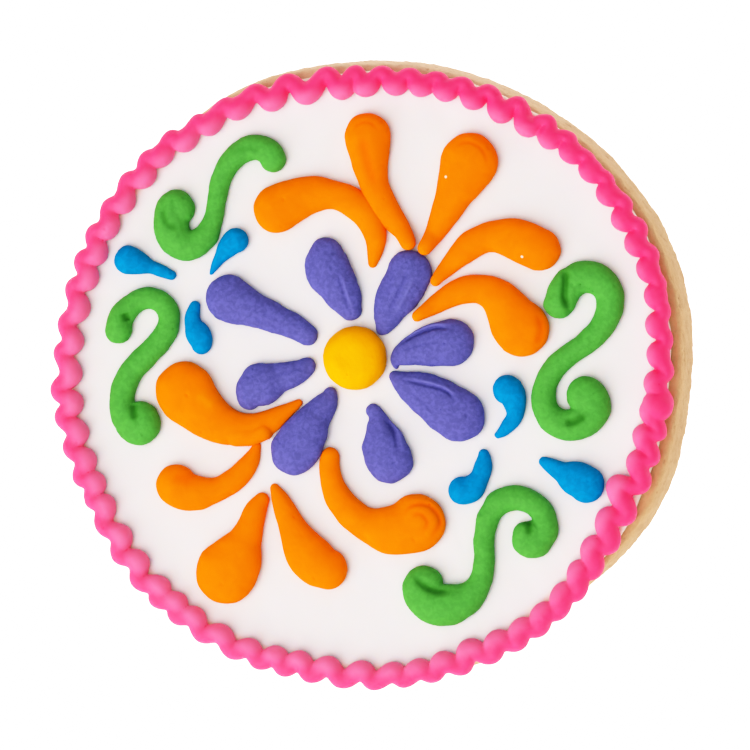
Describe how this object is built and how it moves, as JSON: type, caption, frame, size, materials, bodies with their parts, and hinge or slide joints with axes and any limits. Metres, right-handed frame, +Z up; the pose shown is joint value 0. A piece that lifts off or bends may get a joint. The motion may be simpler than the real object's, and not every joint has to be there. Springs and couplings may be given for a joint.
{
  "type": "iced sugar cookie",
  "caption": "Round baked cookie with a flat white icing top, a raised zigzag border and a raised flower with drops, commas and scrolls.",
  "frame": {"origin": "middle of the flat underside, on the surface the cookie rests on", "axes": "+Z up through the icing; +X and +Y lie in the underside, +Y towards the picture's top and +X towards its right"},
  "size_m": [0.091, 0.0888, 0.0127],
  "materials": {
    "baked_biscuit": "dry baked dough, fine crumb, browner at the edge",
    "icing_white": "dried flood icing, smooth and matt",
    "icing_pink": "dried piped icing, satin",
    "icing_yellow": "dried piped icing, satin",
    "icing_purple": "dried piped icing, finely grained",
    "icing_orange": "dried piped icing, satin",
    "icing_blue": "dried piped icing, satin",
    "icing_green": "dried piped icing, finely pitted"
  },
  "bodies": {
    "root": {"biscuit": "baked_biscuit", "white_icing": "icing_white", "pink_border": "icing_pink", "yellow_centre": "icing_yellow", "blue_comma_1": "icing_blue", "blue_comma_2": "icing_blue", "blue_comma_3": "icing_blue", "blue_comma_4": "icing_blue", "blue_comma_5": "icing_blue", "blue_comma_6": "icing_blue", "green_scroll_1": "icing_green", "green_scroll_2": "icing_green", "green_scroll_3": "icing_green", "green_scroll_4": "icing_green", "orange_drop_1": "icing_orange", "orange_drop_2": "icing_orange", "orange_drop_3": "icing_orange", "orange_drop_4": "icing_orange", "orange_drop_5": "icing_orange", "orange_drop_6": "icing_orange", "orange_drop_7": "icing_orange", "orange_drop_8": "icing_orange", "orange_drop_9": "icing_orange", "orange_drop_10": "icing_orange", "purple_petal_1": "icing_purple", "purple_petal_2": "icing_purple", "purple_petal_3": "icing_purple", "purple_petal_4": "icing_purple", "purple_petal_5": "icing_purple", "purple_petal_6": "icing_purple", "purple_petal_7": "icing_purple", "purple_petal_8": "icing_purple"}
  },
  "joints": []
}
